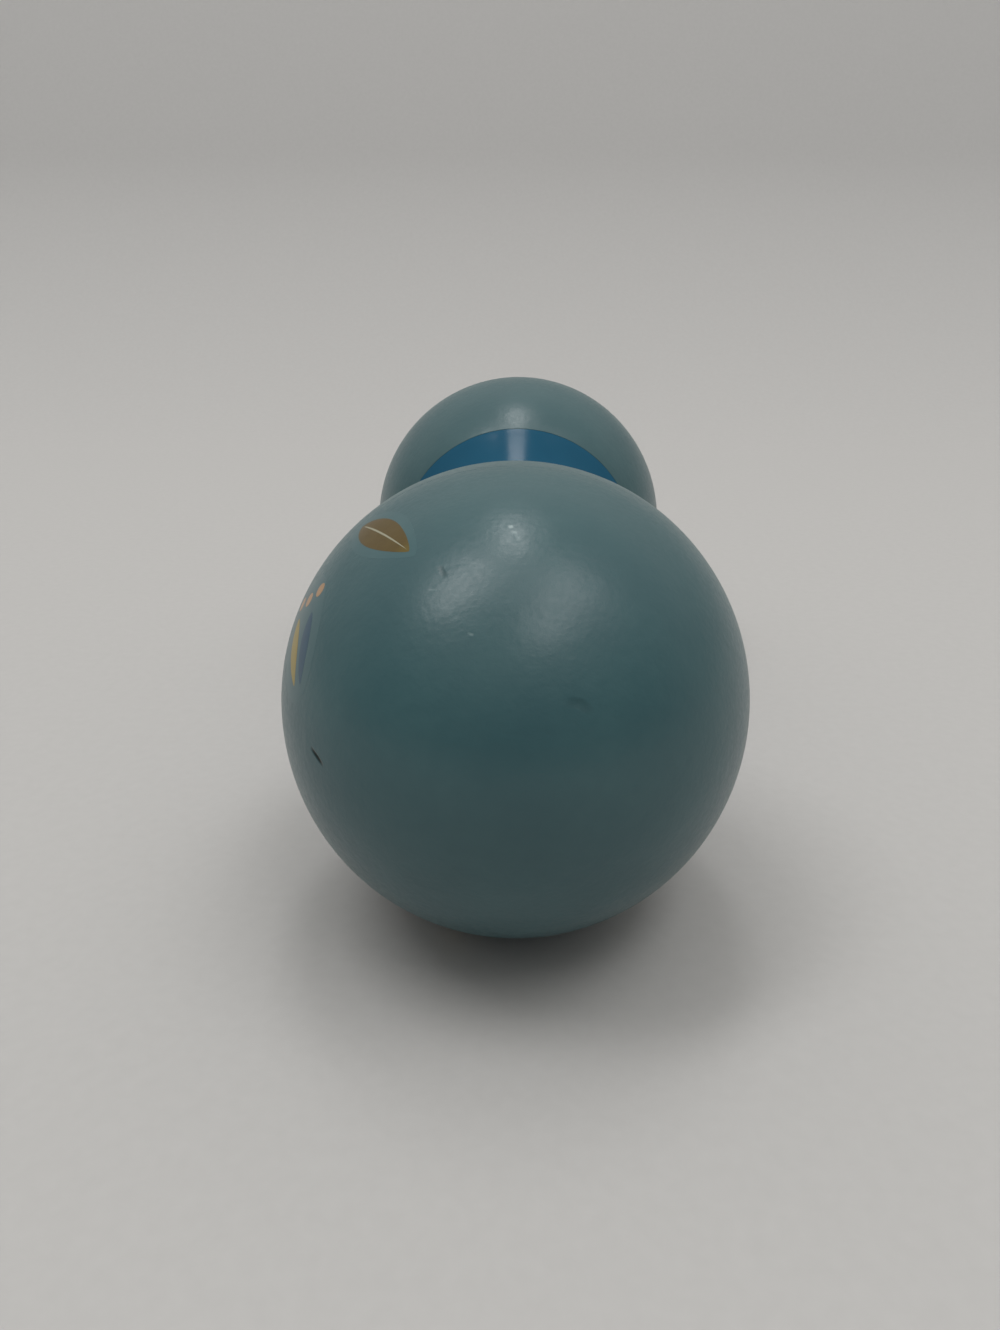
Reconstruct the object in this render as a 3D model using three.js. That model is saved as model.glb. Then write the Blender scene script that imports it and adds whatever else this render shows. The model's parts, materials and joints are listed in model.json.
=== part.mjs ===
// A wooden baby rattle: two hollow oval heads on a waisted handle, with loose steel shot in each head.
// Millimetres, +Z up. It lies on its side on Z = 0, with its long axis along Y and its middle at the origin.
import * as THREE from 'three';
import { mergeVertices, toCreasedNormals } from 'three/addons/utils/BufferGeometryUtils.js';

// Heads: ovals of revolution about the long axis, each hollowed as two cups and glued at its widest section
const headDiameter = 45;
const headLength = 50; // along the long axis, before the seat for the handle is faced off
const headSpacing = 70; // between the centres of the two heads
const headWall = 6; // at the seam, where the wall is thinnest
const seatOffset = 16; // from a head's centre to the flat that the handle is glued against
const floorThickness = 6.5; // wood between the cavity and that flat
const spigotLength = 3; // lip on the outer cup that plugs into the inner cup
const spigotThickness = 2.7;

// Handle and the dowel that runs through it from head to head
const waistDiameter = 19;
const dowelDiameter = 10;
const dowelChamfer = 0.8;

// Loose shot: pairs of balls side by side along the bottom of each cavity
const shotDiameter = 4.5;
const shotPairs = 4;

// Clearances
const glueLine = 0.3; // left on every glued face
const shotClearance = 0.3; // between two balls, and between a ball and the wood

// Facets
const turnedSegments = 32; // round the heads and the handle
const dowelSegments = 16;
const arcSteps = 9; // along a quarter turn of a profile
const flareSteps = 8; // from the handle's waist to its end
const shotSegments = 12;
const shotRings = 8;
const creaseAngle = THREE.MathUtils.degToRad(30);

// Sizes that follow from the ones above
const headRadius = headDiameter / 2;
const headReach = headLength / 2;
const cavityRadius = headRadius - headWall;
const cavityFloor = seatOffset - floorThickness; // from a head's centre
const seatRadius = headRadius * Math.sqrt(1 - (seatOffset / headReach) ** 2);
const spigotRadius = cavityRadius + spigotThickness;
const dowelRadius = dowelDiameter / 2;
const boreRadius = dowelRadius + glueLine;
const shotRadius = shotDiameter / 2;
const shotPitch = shotDiameter + shotClearance;

const tealPaint = new THREE.MeshStandardMaterial({ color: 0x5f8586, roughness: 0.45, metalness: 0 });
const blueLacquer = new THREE.MeshStandardMaterial({ color: 0x1c5f86, roughness: 0.25, metalness: 0 });
const bareBeech = new THREE.MeshStandardMaterial({ color: 0xd2ac7c, roughness: 0.7, metalness: 0 });
const brightSteel = new THREE.MeshStandardMaterial({ color: 0xb9bcc0, roughness: 0.25, metalness: 1 });

const point = (radius, along) => new THREE.Vector2(radius, along);

// Points of a profile along an elliptical arc about the origin, from one angle to another.
function arc(acrossRadius, alongRadius, from, to) {
  const clockwise = to < from;
  const curve = new THREE.EllipseCurve(0, 0, acrossRadius, alongRadius, from, to, clockwise);
  const steps = Math.max(1, Math.ceil((arcSteps * Math.abs(to - from)) / (Math.PI / 2)));
  return curve.getPoints(steps);
}

// A piece turned on a lathe: a profile of radius and distance along the axis, revolved about the long axis.
// The middles of the facets lie at the true radius, and one facet faces straight down.
function turned(profile, segments) {
  const cornerRatio = 1 / Math.cos(Math.PI / segments);
  const corners = profile.map((p) => point(p.x * cornerRatio, p.y));
  const lathe = new THREE.LatheGeometry(corners, segments, Math.PI / segments);
  lathe.deleteAttribute('normal');
  lathe.deleteAttribute('uv');
  const solid = mergeVertices(lathe);
  const index = solid.getIndex().array;
  const kept = [];
  for (let i = 0; i < index.length; i += 3) {
    const [a, b, c] = index.slice(i, i + 3);
    const hasArea = a !== b && b !== c && c !== a; // not so at the axis, where all the segments meet
    if (hasArea) kept.push(a, b, c);
  }
  solid.setIndex(kept);
  return toCreasedNormals(solid, creaseAngle);
}

function piece(name, geometry, material) {
  const mesh = new THREE.Mesh(geometry, material);
  mesh.name = name;
  return mesh;
}

// Outer cup: the closed end of a head. Its spigot reaches past the seam into the inner cup.
function outerCup() {
  const lipAngle = -Math.asin(spigotLength / cavityRadius);
  const profile = [
    ...arc(cavityRadius, cavityRadius, Math.PI / 2, lipAngle),
    point(spigotRadius, -spigotLength),
    point(spigotRadius, 0),
    ...arc(headRadius, headReach, 0, Math.PI / 2),
  ];
  return turned(profile, turnedSegments);
}

// Inner cup: the end of a head that the handle is glued to.
// It has a flat seat, a bore for the dowel and a rebate for the spigot.
function innerCup() {
  const rebateRadius = spigotRadius + glueLine;
  const rebateFloor = spigotLength + glueLine;
  const rimAngle = -Math.asin(glueLine / headReach);
  const seatAngle = -Math.asin(seatOffset / headReach);
  const rebateAngle = -Math.asin(rebateFloor / cavityRadius);
  const floorAngle = -Math.asin(cavityFloor / cavityRadius);
  const profile = [
    point(boreRadius, -seatOffset),
    ...arc(headRadius, headReach, seatAngle, rimAngle),
    point(rebateRadius, -glueLine),
    point(rebateRadius, -rebateFloor),
    ...arc(cavityRadius, cavityRadius, rebateAngle, floorAngle),
    point(boreRadius, -cavityFloor),
    point(boreRadius, -seatOffset),
  ];
  return turned(profile, turnedSegments);
}

// Handle: a waisted spool, bored through for the dowel. Each end flares out and runs smoothly into its head.
function handleSpool() {
  const halfLength = headSpacing / 2 - seatOffset - glueLine;
  const waistRadius = waistDiameter / 2;
  const flareSlope = ((headRadius / headReach) ** 2 * seatOffset) / seatRadius; // as the head has at its seat
  const third = halfLength / 3;
  const flare = new THREE.CubicBezierCurve(
    point(waistRadius, 0),
    point(waistRadius, third),
    point(seatRadius - flareSlope * third, halfLength - third),
    point(seatRadius, halfLength),
  );
  const farHalf = flare.getPoints(flareSteps);
  const nearHalf = farHalf.slice(1).reverse().map((p) => point(p.x, -p.y));
  const profile = [
    point(boreRadius, -halfLength),
    ...nearHalf,
    ...farHalf,
    point(boreRadius, halfLength),
    point(boreRadius, -halfLength),
  ];
  return turned(profile, turnedSegments);
}

// Dowel: glued through the handle, with its ends flush with the floors of the two cavities.
function coreDowel() {
  const halfLength = headSpacing / 2 - cavityFloor;
  const profile = [
    point(0, -halfLength),
    point(dowelRadius - dowelChamfer, -halfLength),
    point(dowelRadius, dowelChamfer - halfLength),
    point(dowelRadius, halfLength - dowelChamfer),
    point(dowelRadius - dowelChamfer, halfLength),
    point(0, halfLength),
  ];
  return turned(profile, dowelSegments);
}

// Shot: the first pair lies against the cavity's floor, and the next ones follow it along the round bottom.
function shotPlaces() {
  const pathRadius = cavityRadius - shotRadius - shotClearance;
  const firstAngle = Math.asin((shotRadius + shotClearance - cavityFloor) / pathRadius);
  const pairAngle = 2 * Math.asin(shotPitch / 2 / pathRadius);
  const places = [];
  for (let pair = 0; pair < shotPairs; pair += 1) {
    const angle = firstAngle + pair * pairAngle;
    const rollRadius = pathRadius * Math.cos(angle);
    const sideways = shotPitch / 2;
    const drop = Math.sqrt(rollRadius ** 2 - sideways ** 2);
    for (const side of [-1, 1]) {
      places.push(new THREE.Vector3(side * sideways, pathRadius * Math.sin(angle), -drop));
    }
  }
  return places;
}

// A head in its own frame, with its centre at the origin and its closed end towards +Y.
function head(label) {
  const group = new THREE.Group();
  group.add(piece(`${label}_outer_cup`, outerCup(), tealPaint));
  group.add(piece(`${label}_inner_cup`, innerCup(), tealPaint));
  const ball = new THREE.SphereGeometry(shotRadius, shotSegments, shotRings);
  shotPlaces().forEach((place, i) => {
    const shot = piece(`${label}_shot_${i + 1}`, ball, brightSteel);
    shot.position.copy(place);
    group.add(shot);
  });
  return group;
}

const rattle = new THREE.Group();
rattle.position.z = headRadius;

const rearHead = head('rear');
rearHead.position.y = headSpacing / 2;

const frontHead = head('front');
frontHead.position.y = -headSpacing / 2;
frontHead.rotation.z = Math.PI;

rattle.add(frontHead, rearHead);
rattle.add(piece('handle', handleSpool(), blueLacquer));
rattle.add(piece('core_dowel', coreDowel(), bareBeech));

const part = new THREE.Group();
part.add(rattle);

export default part;
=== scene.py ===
# A wooden dumbbell rattle: two hollow painted heads on a lacquered handle, with loose steel shot inside.
# Metres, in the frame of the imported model: +Y from the front head to the rear head, +Z up.
import json
import math

import bpy
from mathutils import Matrix, Vector

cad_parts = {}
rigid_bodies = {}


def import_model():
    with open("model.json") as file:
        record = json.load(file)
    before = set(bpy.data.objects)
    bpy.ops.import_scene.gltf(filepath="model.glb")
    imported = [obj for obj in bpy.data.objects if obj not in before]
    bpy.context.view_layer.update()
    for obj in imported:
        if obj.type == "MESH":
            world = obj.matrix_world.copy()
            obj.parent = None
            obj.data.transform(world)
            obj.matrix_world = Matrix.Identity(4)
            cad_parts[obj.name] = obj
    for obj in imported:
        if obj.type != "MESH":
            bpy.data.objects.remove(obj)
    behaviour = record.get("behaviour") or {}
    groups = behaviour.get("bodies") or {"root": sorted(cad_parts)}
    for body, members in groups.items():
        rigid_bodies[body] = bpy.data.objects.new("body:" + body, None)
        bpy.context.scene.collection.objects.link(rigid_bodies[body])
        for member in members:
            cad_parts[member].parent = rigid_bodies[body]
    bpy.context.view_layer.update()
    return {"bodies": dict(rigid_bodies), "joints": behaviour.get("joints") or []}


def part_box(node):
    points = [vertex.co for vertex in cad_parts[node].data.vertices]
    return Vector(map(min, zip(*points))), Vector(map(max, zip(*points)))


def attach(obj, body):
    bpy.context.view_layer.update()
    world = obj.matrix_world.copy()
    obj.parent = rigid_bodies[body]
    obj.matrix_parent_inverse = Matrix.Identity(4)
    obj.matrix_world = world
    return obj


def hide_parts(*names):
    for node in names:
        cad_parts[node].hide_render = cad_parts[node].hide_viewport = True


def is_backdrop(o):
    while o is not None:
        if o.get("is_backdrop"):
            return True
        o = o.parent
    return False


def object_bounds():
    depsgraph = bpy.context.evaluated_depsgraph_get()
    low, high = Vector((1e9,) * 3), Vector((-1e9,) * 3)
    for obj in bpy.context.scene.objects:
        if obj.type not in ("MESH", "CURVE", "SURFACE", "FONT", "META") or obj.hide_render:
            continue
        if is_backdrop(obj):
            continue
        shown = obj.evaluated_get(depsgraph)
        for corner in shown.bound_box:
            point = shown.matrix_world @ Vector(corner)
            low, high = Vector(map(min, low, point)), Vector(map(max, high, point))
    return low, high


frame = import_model()


# Core dowel: a beech rod that ties the two heads together through the handle.
# It was drawn through a die, cut to length, chamfered at both ends and glued in.
mm = 0.001
dowel_low, dowel_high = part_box("core_dowel")
axis_height = (dowel_low.z + dowel_high.z) / 2
dowel_radius = (dowel_high.x - dowel_low.x) / 2
dowel_half = (dowel_high.y - dowel_low.y) / 2
dowel_chamfer = 0.8 * mm
dowel_steps = 64
weld_distance = 0.002 * mm
crease_angle = math.radians(30)


def turn(name, profile, steps):
    """A piece turned on a lathe about the long axis, from points of (distance along Y, radius)."""
    bpy.ops.object.select_all(action="DESELECT")
    bpy.ops.mesh.primitive_plane_add(size=mm)
    piece = bpy.context.active_object
    piece.name = name
    piece.data.name = name
    corners = [Vector((0, along, axis_height + radius)) for along, radius in profile]
    bpy.ops.object.mode_set(mode="EDIT")
    bpy.ops.mesh.merge(type="CENTER")
    bpy.ops.transform.translate(value=corners[0])
    for here, there in zip(corners, corners[1:]):
        bpy.ops.mesh.extrude_vertices_move(TRANSFORM_OT_translate={"value": there - here})
    bpy.ops.mesh.select_all(action="SELECT")
    bpy.ops.mesh.spin(steps=steps, angle=math.tau, center=(0, 0, axis_height), axis=(0, 1, 0))
    bpy.ops.mesh.select_all(action="SELECT")
    bpy.ops.mesh.remove_doubles(threshold=weld_distance)
    bpy.ops.mesh.normals_make_consistent(inside=False)
    bpy.ops.object.mode_set(mode="OBJECT")
    bpy.ops.object.shade_smooth_by_angle(angle=crease_angle)
    return piece


core_dowel = turn(
    "beech_core_dowel",
    [
        (-dowel_half, 0),
        (-dowel_half, dowel_radius - dowel_chamfer),
        (dowel_chamfer - dowel_half, dowel_radius),
        (dowel_half - dowel_chamfer, dowel_radius),
        (dowel_half, dowel_radius - dowel_chamfer),
        (dowel_half, 0),
    ],
    dowel_steps,
)


def linear(colour):
    """An sRGB hex colour as linear red, green, blue and alpha."""
    shares = [int(colour[i:i + 2], 16) / 255 for i in (1, 3, 5)]
    return [*(s / 12.92 if s <= 0.04045 else ((s + 0.055) / 1.055) ** 2.4 for s in shares), 1.0]


def node(owner, kind, inputs=None, **settings):
    """Adds a shader node: settings are its properties, inputs are values or the outputs that feed them."""
    made = owner.node_tree.nodes.new("ShaderNode" + kind)
    for name, value in settings.items():
        setattr(made, name, value)
    for name, value in (inputs or {}).items():
        if isinstance(value, bpy.types.NodeSocket):
            owner.node_tree.links.new(value, made.inputs[name])
        else:
            made.inputs[name].default_value = value
    return made


def new_finish(name):
    """An empty node material."""
    finish = bpy.data.materials.new(name)
    finish.use_nodes = True
    finish.node_tree.nodes.clear()
    return finish


# Planed beech, left bare: pale pink-brown bands along the rod, with the short dark flecks that mark beech.
per_mm = 1 / mm
bare_beech = new_finish("planed_bare_beech")
place = node(bare_beech, "TexCoord").outputs["Object"]
band_size, fleck_size = 1.6, 0.35
along_grain, along_fleck = 0.05, 0.2
band_place = node(bare_beech, "Mapping", {"Vector": place, "Scale": (1, along_grain, 1)}).outputs[0]
bands = node(bare_beech, "TexNoise", {"Vector": band_place, "Scale": per_mm / band_size, "Detail": 4.0})
fleck_place = node(bare_beech, "Mapping", {"Vector": place, "Scale": (1, along_fleck, 1)}).outputs[0]
flecks = node(bare_beech, "TexNoise", {"Vector": fleck_place, "Scale": per_mm / fleck_size, "Detail": 1.0})
fleck_share = node(bare_beech, "MapRange",
                   {"Value": flecks.outputs["Fac"], "From Min": 0.62, "From Max": 0.72, "To Max": 0.6})
wood_colour = node(bare_beech, "Mix",
                   {0: bands.outputs["Fac"], 6: linear("#c79f70"), 7: linear("#e0bd92")}, data_type="RGBA")
fleck_colour = node(bare_beech, "Mix",
                    {0: fleck_share.outputs[0], 6: wood_colour.outputs[2], 7: linear("#9c6d42")},
                    data_type="RGBA")
wood_bump = node(bare_beech, "Bump",
                 {"Height": bands.outputs["Fac"], "Strength": 0.4, "Distance": 0.05 * mm})
wood = node(bare_beech, "BsdfPrincipled",
            {"Base Color": fleck_colour.outputs[2], "Roughness": 0.62, "Normal": wood_bump.outputs[0]})
node(bare_beech, "OutputMaterial", {"Surface": wood.outputs[0]})
core_dowel.data.materials.append(bare_beech)
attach(core_dowel, "rattle")
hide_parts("core_dowel")


# Handle: a beech spool, turned to a waist between two flares and bored through for the dowel.
# It was dipped in a glossy blue lacquer and glued against the flats on the two heads.
head_centre = {joint["name"].split("_")[0]: joint["pos_m"][1] for joint in frame["joints"]}
cup_low, cup_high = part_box("front_outer_cup")
head_radius = (cup_high.x - cup_low.x) / 2
head_reach = head_centre["front"] - cup_low.y
seat_offset = head_centre["rear"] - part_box("rear_inner_cup")[0].y
seat_radius = head_radius * math.sqrt(1 - (seat_offset / head_reach) ** 2)
handle_half = head_centre["rear"] - seat_offset
waist_radius = 9.5 * mm
dowel_fit = 0.05 * mm
bore_radius = dowel_radius + dowel_fit
glue_hairline = 0.02 * mm
edge_ease = 0.03 * mm
rim_drop = 0.04 * mm
flare_steps = 48
handle_steps = 192


def flare(share):
    """A point of the flare, from the waist at 0 to the seat at 1, where it has the slope of the head."""
    seat_slope = (head_radius / head_reach) ** 2 * seat_offset / seat_radius
    third = handle_half / 3
    radii = [waist_radius, waist_radius, seat_radius - seat_slope * third, seat_radius]
    weights = [(1 - share) ** 3, 3 * (1 - share) ** 2 * share, 3 * (1 - share) * share ** 2, share ** 3]
    return handle_half * share, sum(w * r for w, r in zip(weights, radii))


rim_along = handle_half - glue_hairline
far_half = [flare(i / flare_steps) for i in range(flare_steps)]
far_half += [(handle_half - edge_ease, seat_radius - rim_drop), (rim_along, seat_radius - 2 * edge_ease)]
near_half = [(-along, radius) for along, radius in reversed(far_half[1:])]
bored_ends = [(rim_along, bore_radius), (-rim_along, bore_radius), near_half[0]]
handle = turn("lacquered_handle", near_half + far_half + bored_ends, handle_steps)

# Dipped gloss lacquer over turned wood: deep even blue, a clear shine, faint turning rings and a soft ripple.
blue_lacquer = new_finish("dipped_blue_gloss_lacquer")
place = node(blue_lacquer, "TexCoord").outputs["Object"]
ring_spacing, ripple_size, cloud_size = 0.7, 2.2, 7.0
ring_place = node(blue_lacquer, "Mapping", {"Vector": place, "Scale": (0, 1, 0)}).outputs[0]
rings = node(blue_lacquer, "TexNoise", {"Vector": ring_place, "Scale": per_mm / ring_spacing, "Detail": 2.0})
ripple = node(blue_lacquer, "TexNoise", {"Vector": place, "Scale": per_mm / ripple_size, "Detail": 1.0})
clouds = node(blue_lacquer, "TexNoise", {"Vector": place, "Scale": per_mm / cloud_size, "Detail": 3.0})
lacquer_colour = node(blue_lacquer, "Mix",
                      {0: clouds.outputs["Fac"], 6: linear("#0e4d68"), 7: linear("#135773")},
                      data_type="RGBA")
lacquer_rough = node(blue_lacquer, "MapRange",
                     {"Value": clouds.outputs["Fac"], "From Min": 0.3, "From Max": 0.7,
                      "To Min": 0.15, "To Max": 0.2})
ring_bump = node(blue_lacquer, "Bump",
                 {"Height": rings.outputs["Fac"], "Strength": 0.3, "Distance": 0.01 * mm})
ripple_bump = node(blue_lacquer, "Bump",
                   {"Height": ripple.outputs["Fac"], "Strength": 0.3, "Distance": 0.02 * mm,
                    "Normal": ring_bump.outputs[0]})
lacquer = node(blue_lacquer, "BsdfPrincipled",
               {"Base Color": lacquer_colour.outputs[2], "Roughness": lacquer_rough.outputs[0],
                "Specular IOR Level": 0.18, "Normal": ripple_bump.outputs[0]})
node(blue_lacquer, "OutputMaterial", {"Surface": lacquer.outputs[0]})
handle.data.materials.append(blue_lacquer)
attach(handle, "rattle")
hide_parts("handle")


# Inner cups: the halves of the two heads that the handle is glued to, turned and hollowed from beech.
# Each has a flat seat, a bore for the dowel and a rebate that takes the other half's spigot.
head_wall = 6 * mm
floor_thickness = 6.5 * mm
spigot_length = 3 * mm
spigot_thickness = 2.7 * mm
glue_line = 0.3 * mm
cavity_radius = head_radius - head_wall
cavity_floor = seat_offset - floor_thickness
spigot_radius = cavity_radius + spigot_thickness
outward = {"front": -1, "rear": 1}
cup_steps = 192
outer_share = 0.985  # of the oval, past which a face is painted
inner_rows, floor_rows = 64, 10


def oval(across, lengthwise, start, end, steps):
    """Points of (along, radius) on an oval about a head's centre, from one distance along to another."""
    first, last = math.asin(start / lengthwise), math.asin(end / lengthwise)
    angles = [first + (last - first) * i / steps for i in range(steps + 1)]
    return [(lengthwise * math.sin(a), abs(across * math.cos(a))) for a in angles]


def place_in_head(head, profile):
    """A profile about a head's centre, with its closed end outwards, put where that head lies."""
    return [(head_centre[head] + outward[head] * along, radius) for along, radius in profile]


def paint_outside(cup, head):
    """Gives a cup paint on the faces that lie on the head's outer oval, and bare wood on the others."""
    cup.data.materials.append(teal_paint)
    cup.data.materials.append(bare_beech)
    for face in cup.data.polygons:
        across = math.hypot(face.center.x, face.center.z - axis_height) / head_radius
        along = (face.center.y - head_centre[head]) / head_reach
        on_oval = math.hypot(across, along) > outer_share
        face.material_index = 0 if on_oval else 1


# Satin paint sprayed on sealed and sanded beech: a muted grey teal with cloudy patches, and a low sheen that
# breaks up into fine grit and faint turning rings. Dirt lies in the dents, rubs are pale, and so is a painted
# glint.
teal_paint = new_finish("sprayed_teal_satin_paint")
place = node(teal_paint, "TexCoord").outputs["Object"]
cloud_size, mottle_size, grit_size = 9.0, 1.4, 0.5
ring_spacing, ring_stretch = 0.45, 0.08  # turning rings, about twice as coarse as real ones, to show
clouds = node(teal_paint, "TexNoise", {"Vector": place, "Scale": per_mm / cloud_size, "Detail": 3.0})
mottle = node(teal_paint, "TexNoise", {"Vector": place, "Scale": per_mm / mottle_size, "Detail": 3.0})
grit = node(teal_paint, "TexNoise", {"Vector": place, "Scale": per_mm / grit_size, "Detail": 2.0})
from_axis = node(teal_paint, "Mapping",
                 {"Vector": place, "Location": (0, 0, -axis_height), "Scale": (1, 0, 1)}).outputs[0]
off_axis = node(teal_paint, "VectorMath", {0: from_axis}, operation="LENGTH").outputs["Value"]
spoke = node(teal_paint, "SeparateXYZ", {"Vector": from_axis}).outputs
around = node(teal_paint, "Math", {0: spoke["X"], 1: spoke["Z"]}, operation="ARCTAN2").outputs[0]
along = node(teal_paint, "SeparateXYZ", {"Vector": place}).outputs["Y"]
from_middle = node(teal_paint, "Math", {0: along}, operation="ABSOLUTE").outputs[0]
past_centre = node(teal_paint, "Math",
                   {0: from_middle, 1: head_centre["rear"]}, operation="SUBTRACT").outputs[0]
from_pole = node(teal_paint, "Math", {0: off_axis, 1: past_centre}, operation="ARCTAN2").outputs[0]
drawn_out = node(teal_paint, "Math", {0: around, 1: ring_stretch}, operation="MULTIPLY").outputs[0]
ring_place = node(teal_paint, "CombineXYZ", {"X": from_pole, "Y": drawn_out}).outputs[0]
rings = node(teal_paint, "TexNoise",
             {"Vector": ring_place, "Scale": head_radius * per_mm / ring_spacing, "Detail": 2.0})
cloud_share = node(teal_paint, "MapRange", {"Value": clouds.outputs["Fac"], "From Min": 0.3, "From Max": 0.7})
paint_colour = node(teal_paint, "Mix",
                    {0: cloud_share.outputs[0], 6: linear("#3b5c61"), 7: linear("#416266")}, data_type="RGBA")
mottle_share = node(teal_paint, "MapRange",
                    {"Value": mottle.outputs["Fac"], "From Min": 0.35, "From Max": 0.75, "To Max": 0.35})
mottled = node(teal_paint, "Mix",
               {0: mottle_share.outputs[0], 6: paint_colour.outputs[2], 7: linear("#38595e")},
               data_type="RGBA")
dirt = node(teal_paint, "Attribute", attribute_name="dirt")
dirty = node(teal_paint, "Mix",
             {0: dirt.outputs["Fac"], 6: mottled.outputs[2], 7: linear("#182321")}, data_type="RGBA")
# Pale rubs come in through this attribute, and so does a painted glint near the front head's top.
rub = node(teal_paint, "Attribute", attribute_name="rub")
grit_share = node(teal_paint, "MapRange", {"Value": grit.outputs["Fac"], "From Min": 0.4, "From Max": 0.6})
broken_rub_and_glint = node(teal_paint, "Math", {0: rub.outputs["Fac"], 1: grit_share.outputs[0]}, operation="MULTIPLY")
# One pale colour for the rubs and for the painted glint.
rubs_and_glint = node(teal_paint, "Mix",
              {0: broken_rub_and_glint.outputs[0], 6: dirty.outputs[2], 7: linear("#93a7a7")}, data_type="RGBA")
grit_rough = node(teal_paint, "MapRange",
                  {"Value": grit.outputs["Fac"], "From Min": 0.35, "From Max": 0.65,
                   "To Min": 0.34, "To Max": 0.28})
cloud_bump = node(teal_paint, "Bump",
                  {"Height": clouds.outputs["Fac"], "Strength": 0.5, "Distance": 0.15 * mm})
mottle_bump = node(teal_paint, "Bump",
                   {"Height": mottle.outputs["Fac"], "Strength": 0.5, "Distance": 0.06 * mm,
                    "Normal": cloud_bump.outputs[0]})
grit_bump = node(teal_paint, "Bump",
                 {"Height": grit.outputs["Fac"], "Strength": 0.5, "Distance": 0.03 * mm,
                  "Normal": mottle_bump.outputs[0]})
ring_bump = node(teal_paint, "Bump",
                 {"Height": rings.outputs["Fac"], "Strength": 0.5, "Distance": 0.012 * mm,
                  "Normal": grit_bump.outputs[0]})
paint = node(teal_paint, "BsdfPrincipled",
             {"Base Color": rubs_and_glint.outputs[2], "Roughness": grit_rough.outputs[0],
              "Specular IOR Level": 0.45, "Normal": ring_bump.outputs[0]})
node(teal_paint, "OutputMaterial", {"Surface": paint.outputs[0]})

for head in head_centre:
    rebate_radius = spigot_radius + glue_line
    rebate_floor = spigot_length + glue_line
    profile = [
        (-seat_offset, bore_radius),
        (-seat_offset, seat_radius - 2 * edge_ease),
        *oval(head_radius, head_reach, edge_ease - seat_offset, -edge_ease, inner_rows),
        (-glue_hairline, head_radius - edge_ease),
        (-glue_hairline, rebate_radius),
        (-rebate_floor, rebate_radius),
        *oval(cavity_radius, cavity_radius, -rebate_floor, -cavity_floor, floor_rows),
        (-cavity_floor, bore_radius),
        (-seat_offset, bore_radius),
    ]
    inner_cup = turn(f"{head}_inner_half", place_in_head(head, profile), cup_steps)
    paint_outside(inner_cup, head)
    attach(inner_cup, "rattle")
    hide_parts(f"{head}_inner_cup")


# Loose shot: cold-headed steel balls, tumbled bright, that lie in each cavity and make the sound.
# Each has a faint raised belt where its two dies met, worn almost flush.
shot_low, shot_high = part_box("front_shot_1")
shot_radius = (shot_high.z - shot_low.z) / 2
belt_height = 0.03 * mm
belt_half_width = 0.3 * mm
shot_cuts = 11

# Tumbled carbon steel: bright grey, with fine crossing scuffs that blur the shine.
bright_steel = new_finish("tumbled_bright_steel")
place = node(bright_steel, "TexCoord").outputs["Object"]
scuff_size = 0.25
scuffs = node(bright_steel, "TexNoise", {"Vector": place, "Scale": per_mm / scuff_size, "Detail": 4.0})
steel_colour = node(bright_steel, "Mix",
                    {0: scuffs.outputs["Fac"], 6: linear("#a3a6a9"), 7: linear("#c9cccf")}, data_type="RGBA")
steel_rough = node(bright_steel, "MapRange", {"Value": scuffs.outputs["Fac"], "To Min": 0.18, "To Max": 0.4})
steel = node(bright_steel, "BsdfPrincipled",
             {"Base Color": steel_colour.outputs[2], "Roughness": steel_rough.outputs[0], "Metallic": 1.0})
node(bright_steel, "OutputMaterial", {"Surface": steel.outputs[0]})

bpy.ops.object.select_all(action="DESELECT")
bpy.ops.mesh.primitive_cube_add(size=2 * shot_radius)
first_shot = bpy.context.active_object
bpy.ops.object.mode_set(mode="EDIT")
bpy.ops.mesh.subdivide(number_cuts=shot_cuts)
bpy.ops.transform.tosphere(value=1)
bpy.ops.object.mode_set(mode="OBJECT")
for corner in first_shot.data.vertices:
    off_belt = abs(corner.co.z) / belt_half_width
    corner.co *= (shot_radius - belt_height * min(1, off_belt)) / corner.co.length
bpy.ops.object.shade_smooth()
first_shot.data.materials.append(bright_steel)
for body in frame["bodies"]:
    if "_shot_" in body:
        low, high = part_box(body)
        ball = bpy.data.objects.new(f"steel_{body}", first_shot.data.copy())
        ball.data.transform(Matrix.Translation((low + high) / 2))
        bpy.context.scene.collection.objects.link(ball)
        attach(ball, body)
        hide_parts(body)
bpy.data.objects.remove(first_shot)


# Outer cups: the closed ends of the two heads, turned and hollowed like the inner ones.
# A spigot plugs each into its inner half, and the joint is sanded flush, so that only a hairline shows.
outer_steps = {"front": 320, "rear": 192}
outer_rows = {"front": 128, "rear": 64}
hollow_rows = 24
outer_cup = {}
for head in head_centre:
    profile = [
        *oval(cavity_radius, cavity_radius, cavity_radius, -spigot_length, hollow_rows),
        (-spigot_length, spigot_radius),
        (glue_hairline, spigot_radius),
        (glue_hairline, head_radius - edge_ease),
        *oval(head_radius, head_reach, edge_ease, head_reach, outer_rows[head]),
    ]
    outer_cup[head] = turn(f"{head}_outer_half", place_in_head(head, profile), outer_steps[head])
    paint_outside(outer_cup[head], head)
    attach(outer_cup[head], "rattle")
    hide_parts(f"{head}_outer_cup")
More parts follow.
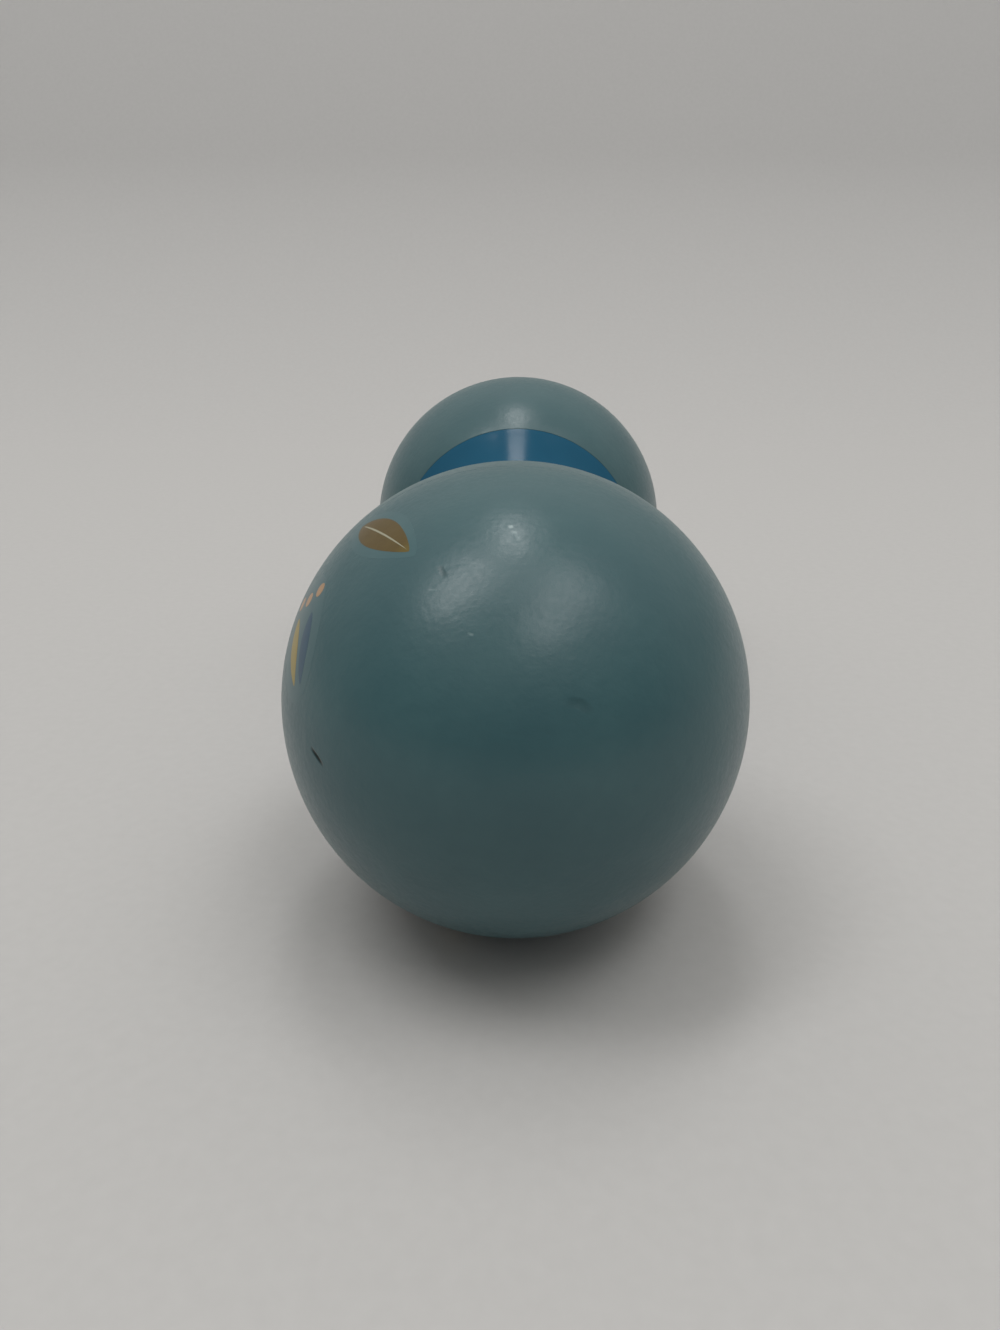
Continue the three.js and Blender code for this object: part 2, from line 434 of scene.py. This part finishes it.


# Knocks in the front head's paint: a chip, a crescent dent, a nick, pale rubs from drops and chewing, and a
# painted glint.
# Each follows a short line of points, in mm outwards from the head's centre and degrees round from its top.
# The surface is cut finely round them, pressed in along those lines and stained there.
knocks = [
    # points, half width in mm, depth in mm, what colours it, how strongly
    ([(16.2, -82.9), (17.9, -85.6)], 0.24, 0.12, "dirt", 1.0),
    ([(22.40, 22.7), (22.22, 29.0), (22.30, 36.1)], 0.50, 0.035, "dirt", 0.15),
    ([(14.4, -19.1), (15.6, -17.9)], 0.28, 0.03, "dirt", 0.25),
    # a painted glint: this pale speck and its tail lie high on the head, where a lamp's highlight falls
    ([(11.5, -1.3), (11.9, -0.8)], 0.22, 0.01, "rub", 0.7),
    ([(12.0, -0.6), (13.2, 0.8)], 0.26, 0.01, "rub", 0.35),
    ([(16.0, -23.2), (16.3, -20.3)], 0.10, 0.01, "rub", 0.2),
    ([(19.5, -14.8), (19.7, -12.7)], 0.13, 0.01, "rub", 0.3),
]
knock_cuts = 5
knock_margin = 2.5  # half widths past a knock's ends that are cut finely
bowl_power = 1.5  # over 1 gives a knock soft sides
stain_spread = 1.6  # over 1 stains a knock nearly to its sides


def on_head(head, outwards, turned):
    """A point on a head's oval and the normal there, from mm outwards and degrees round from the top."""
    along = outward[head] * outwards * mm
    angle = math.radians(turned)
    radius = head_radius * math.sqrt(1 - (along / head_reach) ** 2)
    around = Vector((math.sin(angle), 0, math.cos(angle)))
    normal = around * (radius / head_radius ** 2) + Vector((0, along / head_reach ** 2, 0))
    centre = Vector((0, head_centre[head], axis_height))
    return centre + around * radius + Vector((0, along, 0)), normal.normalized()


def knocked(point, line, half_width):
    """How deep a point lies in a knock along a line: 1 on its middle, 0 at its sides and ends."""
    legs = [(end - start).length for start, end in zip(line, line[1:])]
    nearest, share, passed = math.inf, 0.0, 0.0
    for start, end, leg in zip(line, line[1:], legs):
        reached = max(0.0, min(leg, (point - start).dot(end - start) / leg))
        away = (point - start.lerp(end, reached / leg)).length
        if away < nearest:
            nearest, share = away, (passed + reached) / sum(legs)
        passed += leg
    across = max(0.0, 1 - (nearest / half_width) ** 2)
    return across * (1 - (2 * share - 1) ** 2)


dented = outer_cup["front"]
lines = [[on_head("front", *point)[0] for point in points] for points, *_ in knocks]
middles = [sum(line, Vector()) / len(line) for line in lines]
reaches = [max((point - middle).length for point in line) + knock_margin * half_width * mm
           for line, middle, (_, half_width, *_) in zip(lines, middles, knocks)]
bpy.ops.object.select_all(action="DESELECT")
bpy.context.view_layer.objects.active = dented
dented.select_set(True)
bpy.ops.object.mode_set(mode="EDIT")
bpy.ops.mesh.select_all(action="DESELECT")
bpy.ops.object.mode_set(mode="OBJECT")
for face in dented.data.polygons:
    near = any((face.center - middle).length < reach for middle, reach in zip(middles, reaches))
    face.select = near and face.material_index == 0
bpy.ops.object.mode_set(mode="EDIT")
bpy.ops.mesh.subdivide(number_cuts=knock_cuts)
bpy.ops.mesh.select_all(action="DESELECT")
bpy.ops.object.mode_set(mode="OBJECT")
for stain in ("dirt", "rub"):
    dented.data.attributes.new(stain, "FLOAT", "POINT")
for (points, half_width, depth, stain, strength), line, middle, reach in zip(knocks, lines, middles, reaches):
    inward = -on_head("front", *points[len(points) // 2])[1]
    stained = dented.data.attributes[stain].data
    for i, corner in enumerate(dented.data.vertices):
        if (corner.co - middle).length < reach:
            sunk = knocked(corner.co, line, half_width * mm)
            corner.co += inward * (sunk ** bowl_power * depth * mm)
            stained[i].value = max(stained[i].value, strength * min(1.0, stain_spread * sunk))


# Printed transfers: leaves and sprigs in ochre, mustard, blue and peach inks, each on a clear carrier film.
# They were slid on over the paint, so the film's edge stands just proud of it all round.
film_lift = 0.003 * mm
ink_lift = 0.009 * mm
film_thickness = 0.004 * mm
print_hover = 0.5 * mm  # above the head, before it is pressed on
print_rows, print_columns = 32, 12
print_crease = math.radians(40)
stem_skew, side_fullness = 0.85, 0.75


def leaf_outline(share):
    """Half the width of a leaf, as a share of its widest, from its blunt stem end to its pointed tip."""
    return math.sin(math.pi * share ** stem_skew) ** side_fullness


def round_outline(share):
    """Half the width of a round print, as a share of its widest."""
    return 2 * math.sqrt(share * (1 - share))


def lay_on_head(name, head, outwards, turned, heading, length, width, outline, lift, finish):
    """A print laid on a head: heading is degrees from outwards towards the right, sizes are in mm."""
    bpy.ops.object.select_all(action="DESELECT")
    bpy.ops.mesh.primitive_grid_add(x_subdivisions=print_rows, y_subdivisions=print_columns, size=1)
    transfer = bpy.context.active_object
    transfer.name = name
    for corner in transfer.data.vertices:
        share = corner.co.x + 0.5
        half = outline(share) if 0 < share < 1 else 0
        corner.co = Vector(((share - 0.5) * length * mm, corner.co.y * width * mm * half, 0))
    spot, normal = on_head(head, outwards, turned)
    pole = Vector((0, outward[head], 0))
    forward = (pole - normal * pole.dot(normal)).normalized()
    sideways = normal.cross(forward)
    angle = math.radians(heading)
    ahead = forward * math.cos(angle) + sideways * math.sin(angle)
    turning = Matrix((ahead, normal.cross(ahead), normal)).transposed().to_4x4()
    transfer.matrix_world = Matrix.Translation(spot + normal * print_hover) @ turning
    bpy.ops.object.transform_apply(location=True, rotation=True, scale=True)
    bpy.ops.object.mode_set(mode="EDIT")
    bpy.ops.mesh.select_all(action="SELECT")
    bpy.ops.mesh.remove_doubles(threshold=weld_distance)
    bpy.ops.object.mode_set(mode="OBJECT")
    wrap = transfer.modifiers.new("wrap", "SHRINKWRAP")
    wrap.target = outer_cup[head]
    wrap.offset = lift
    wrap.wrap_mode = "ABOVE_SURFACE"
    thicken = transfer.modifiers.new("thicken", "SOLIDIFY")
    thicken.thickness = film_thickness
    thicken.offset = 1
    for modifier in ("wrap", "thicken"):
        bpy.ops.object.modifier_apply(modifier=modifier)
    bpy.ops.object.shade_smooth_by_angle(angle=print_crease)
    transfer.data.materials.append(finish)
    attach(transfer, "rattle")


# Clear carrier film over the paint: the same teal, a shade paler and glossier.
clear_film = new_finish("clear_transfer_film")
place = node(clear_film, "TexCoord").outputs["Object"]
film_clouds = node(clear_film, "TexNoise", {"Vector": place, "Scale": per_mm / mottle_size, "Detail": 3.0})
film_colour = node(clear_film, "Mix",
                   {0: film_clouds.outputs["Fac"], 6: linear("#3d5e63"), 7: linear("#446569")},
                   data_type="RGBA")
film = node(clear_film, "BsdfPrincipled",
            {"Base Color": film_colour.outputs[2], "Roughness": 0.29, "Specular IOR Level": 0.45})
node(clear_film, "OutputMaterial", {"Surface": film.outputs[0]})

# Screen-printed ochre ink with a pale rib left in it, down the leaf's middle and short of the tip.
ochre_ink = new_finish("ochre_leaf_ink")
ink_grain_size, rib_middle = 0.6, 0.52
leaf_axes = node(ochre_ink, "SeparateXYZ", {"Vector": node(ochre_ink, "TexCoord").outputs["UV"]})
from_rib = node(ochre_ink, "Math", {0: leaf_axes.outputs["Y"], 1: rib_middle}, operation="SUBTRACT")
rib_distance = node(ochre_ink, "Math", {0: from_rib.outputs[0]}, operation="ABSOLUTE")
rib_share = node(ochre_ink, "MapRange",
                 {"Value": rib_distance.outputs[0], "From Min": 0.015, "From Max": 0.037,
                  "To Min": 1, "To Max": 0})
rib_start = node(ochre_ink, "MapRange", {"Value": leaf_axes.outputs["X"], "From Min": 0.04, "From Max": 0.1})
rib_stop = node(ochre_ink, "MapRange",
                {"Value": leaf_axes.outputs["X"], "From Min": 0.9, "From Max": 0.97,
                 "To Min": 1, "To Max": 0})
rib_begun = node(ochre_ink, "Math", {0: rib_share.outputs[0], 1: rib_start.outputs[0]}, operation="MULTIPLY")
rib = node(ochre_ink, "Math", {0: rib_begun.outputs[0], 1: rib_stop.outputs[0]}, operation="MULTIPLY")
ink_place = node(ochre_ink, "TexCoord").outputs["Object"]
ink_grain = node(ochre_ink, "TexNoise",
                 {"Vector": ink_place, "Scale": per_mm / ink_grain_size, "Detail": 2.0})
ink_body = node(ochre_ink, "Mix",
                {0: ink_grain.outputs["Fac"], 6: linear("#54431c"), 7: linear("#604f23")}, data_type="RGBA")
tip_share = node(ochre_ink, "MapRange",
                 {"Value": leaf_axes.outputs["X"], "From Min": 0.84, "From Max": 1.0, "To Max": 0.6})
ink_tip = node(ochre_ink, "Mix",
               {0: tip_share.outputs[0], 6: ink_body.outputs[2], 7: linear("#77682a")}, data_type="RGBA")
ink_rib = node(ochre_ink, "Mix",
               {0: rib.outputs[0], 6: ink_tip.outputs[2], 7: linear("#9f9d87")}, data_type="RGBA")
ink = node(ochre_ink, "BsdfPrincipled",
           {"Base Color": ink_rib.outputs[2], "Roughness": 0.3, "Specular IOR Level": 0.3})
node(ochre_ink, "OutputMaterial", {"Surface": ink.outputs[0]})


def flat_ink(name, thin, full):
    """Screen-printed ink of one colour, a little uneven where the screen left less of it."""
    finish = new_finish(name)
    spot = node(finish, "TexCoord").outputs["Object"]
    cover = node(finish, "TexNoise", {"Vector": spot, "Scale": per_mm / ink_grain_size, "Detail": 2.0})
    colour = node(finish, "Mix",
                  {0: cover.outputs["Fac"], 6: linear(thin), 7: linear(full)}, data_type="RGBA")
    coat = node(finish, "BsdfPrincipled",
                {"Base Color": colour.outputs[2], "Roughness": 0.3, "Specular IOR Level": 0.5})
    node(finish, "OutputMaterial", {"Surface": coat.outputs[0]})
    return finish


mustard_ink = flat_ink("mustard_ink", "#8d7a2f", "#9d8836")
blue_ink = flat_ink("blue_ink", "#123f55", "#184a63")
peach_ink = flat_ink("peach_ink", "#a5805c", "#b58d67")

# Sizes of the prints in mm, as length and width
leaf_size, leaf_film_size = (10.6, 3.4), (12.6, 5.4)
sprig_film_size = (13, 8)
blue_leaf_size, mustard_leaf_size = (6.8, 1.8), (7.2, 1.9)
blue_leaf_place, mustard_leaf_place = (1.5, 1.2), (1.2, -1.3)  # ahead of its middle, to its right
leaf_splay = 8  # degrees that a sprig's two leaves lean towards each other
berry_size, berry_spacing, berry_back = 1.4, 2.2, 3.6
berry_droop = 1 / 6  # mm that an outer berry lies further back, for each mm that it lies aside


def lay_leaf(name, head, outwards, turned, heading):
    """One ochre leaf on its film."""
    spot = (head, outwards, turned, heading)
    lay_on_head(f"{name}_film", *spot, *leaf_film_size, leaf_outline, film_lift, clear_film)
    lay_on_head(f"{name}_ink", *spot, *leaf_size, leaf_outline, ink_lift, ochre_ink)


def lay_sprig(name, head, outwards, turned, heading):
    """A blue and a mustard leaf side by side with three peach berries behind them, on one film."""
    angle = math.radians(heading)
    degrees_per_mm = math.degrees(mm / head_radius)

    def beside(ahead, aside):
        """The place that lies so many mm ahead of the sprig's middle and to its right."""
        further_out = ahead * math.cos(angle) - aside * math.sin(angle)
        further_round = ahead * math.sin(angle) + aside * math.cos(angle)
        return head, outwards + further_out, turned + further_round * degrees_per_mm

    lay_on_head(f"{name}_film", *beside(0, 0), heading, *sprig_film_size,
                round_outline, film_lift, clear_film)
    lay_on_head(f"{name}_blue_leaf", *beside(*blue_leaf_place), heading - leaf_splay,
                *blue_leaf_size, leaf_outline, ink_lift, blue_ink)
    lay_on_head(f"{name}_mustard_leaf", *beside(*mustard_leaf_place), heading + leaf_splay,
                *mustard_leaf_size, leaf_outline, ink_lift, mustard_ink)
    for i, aside in enumerate((-berry_spacing, 0, berry_spacing)):
        berry_place = beside(-berry_back - abs(aside) * berry_droop, aside)
        lay_on_head(f"{name}_berry_{i + 1}", *berry_place, 0, berry_size, berry_size,
                    round_outline, ink_lift, peach_ink)


lay_leaf("front_top_leaf", "front", 7.6, -32.3, 26)
lay_leaf("front_side_leaf", "front", 7.5, 118, 200)
lay_leaf("rear_side_leaf", "rear", 7.5, 96, 30)
lay_leaf("rear_low_leaf", "rear", 6.5, -128, 205)
lay_sprig("front_left_sprig", "front", 9.0, -63.5, -41)
lay_sprig("front_low_sprig", "front", 8.0, -160, -15)
lay_sprig("rear_left_sprig", "rear", 8.5, -84, 10)
lay_sprig("rear_low_sprig", "rear", 8.0, 155, -10)


# Stage: a pale sweep of card, flat under the rattle and curved up behind it.
# It isn't part of the rattle, and only carries its shadow.
sweep_width, sweep_front = 4.0, -2.5
wall_at, wall_height, wall_lean = 0.34, 0.4, 0.2
sweep_bend, bend_steps = 0.12, 24
bpy.ops.object.select_all(action="DESELECT")
bpy.ops.mesh.primitive_plane_add(size=1)
sweep = bpy.context.active_object
sweep.name = "paper_sweep"
for corner in sweep.data.vertices:
    corner.co.x *= sweep_width
    corner.co.y = wall_at if corner.co.y > 0 else sweep_front
bpy.ops.object.mode_set(mode="EDIT")
bpy.ops.mesh.select_all(action="DESELECT")
bpy.ops.object.mode_set(mode="OBJECT")
for edge in sweep.data.edges:
    edge.select = all(sweep.data.vertices[i].co.y > 0 for i in edge.vertices)
bpy.ops.object.mode_set(mode="EDIT")
bpy.ops.mesh.extrude_edges_move(TRANSFORM_OT_translate={"value": (0, wall_lean, wall_height)})
bpy.ops.mesh.select_all(action="DESELECT")
bpy.ops.object.mode_set(mode="OBJECT")
for edge in sweep.data.edges:
    ends = [sweep.data.vertices[i].co for i in edge.vertices]
    edge.select = all(end.y > 0 and end.z == 0 for end in ends)
bpy.ops.object.mode_set(mode="EDIT")
bpy.ops.mesh.bevel(offset=sweep_bend, segments=bend_steps)
bpy.ops.object.mode_set(mode="OBJECT")
bpy.ops.object.shade_smooth()

# Matt card: a warm pale grey with a faint tooth.
matt_card = new_finish("matt_card")
tooth_size = 1.5
place = node(matt_card, "TexCoord").outputs["Object"]
tooth = node(matt_card, "TexNoise", {"Vector": place, "Scale": per_mm / tooth_size, "Detail": 3.0})
card_colour = node(matt_card, "Mix",
                   {0: tooth.outputs["Fac"], 6: linear("#bbb9b7"), 7: linear("#c1bfbd")}, data_type="RGBA")
card = node(matt_card, "BsdfPrincipled",
            {"Base Color": card_colour.outputs[2], "Roughness": 0.9, "Specular IOR Level": 0.2})
node(matt_card, "OutputMaterial", {"Surface": card.outputs[0]})
sweep.data.materials.append(matt_card)
sweep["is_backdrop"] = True


# Light: four soft lamps under a pale ceiling, in a room that is pale behind the rattle and grey before it.
# Three of them show as soft glints on the heads and the handle, and the fourth is wide and weak.
# A lamp's brightness is in times that of white paper in the same room.
lamp_height = 1.5
lamps = [
    # name, middle (x, y), length, width, turn in degrees, brightness
    ("back_lamp", (-0.03, 0.455), 0.53, 0.28, 90, 6.2),
    ("left_lamp", (-0.66, -0.14), 0.88, 0.36, 33, 5.7),
    ("right_lamp", (0.50, -0.46), 1.20, 0.50, 72, 3.0),
    ("top_lamp", (0.10, -0.18), 2.40, 0.56, 0, 0.9),
]
for name, middle, length, width, turned, brightness in lamps:
    softbox = bpy.data.lights.new(name, "AREA")
    softbox.shape = "RECTANGLE"
    softbox.size, softbox.size_y = length, width
    softbox.energy = brightness * math.pi * length * width
    lamp = bpy.data.objects.new(name, softbox)
    lamp.location = (*middle, lamp_height)
    lamp.rotation_euler.z = math.radians(turned)
    bpy.context.scene.collection.objects.link(lamp)

room = bpy.data.worlds.new("room")
room.use_nodes = True
room.node_tree.nodes.clear()
direction = node(room, "SeparateXYZ", {"Vector": node(room, "TexCoord").outputs["Generated"]})
towards_wall = node(room, "MapRange",
                    {"Value": direction.outputs["Y"], "From Min": -0.3, "From Max": 0.8})
side_colour = node(room, "Mix",
                   {0: towards_wall.outputs[0], 6: linear("#54585b"), 7: linear("#c8c4bf")}, data_type="RGBA")
towards_ceiling = node(room, "MapRange",
                       {"Value": direction.outputs["Z"], "From Min": 0.35, "From Max": 0.85},
                       interpolation_type="SMOOTHSTEP")
room_colour = node(room, "Mix",
                   {0: towards_ceiling.outputs[0], 6: side_colour.outputs[2], 7: linear("#b4b4b1")},
                   data_type="RGBA")
background = node(room, "Background", {"Color": room_colour.outputs[2], "Strength": 1.27})
node(room, "OutputWorld", {"Surface": background.outputs[0]})
bpy.context.scene.world = room


# Camera: where the photograph was taken from, in front of the front head and above it.
# Its focal length is the photograph's width, and the sensor's width stands for the photograph's height.
photo_width, photo_height = 1000, 1330
sensor_width = 36
camera_data = bpy.data.cameras.new("camera")
camera_data.sensor_width = sensor_width
camera_data.lens = sensor_width * photo_width / photo_height
camera_data.clip_start = mm
camera = bpy.data.objects.new("camera", camera_data)
camera.location = (0.39 * mm, -125.7 * mm, 62.7 * mm)
camera_pitch, camera_turn = 22.3, 1.18
camera.rotation_euler = (math.radians(90 - camera_pitch), 0, math.radians(camera_turn))
bpy.context.scene.collection.objects.link(camera)
bpy.context.scene.camera = camera
bpy.context.scene.view_settings.view_transform = "Standard"

low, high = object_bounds()
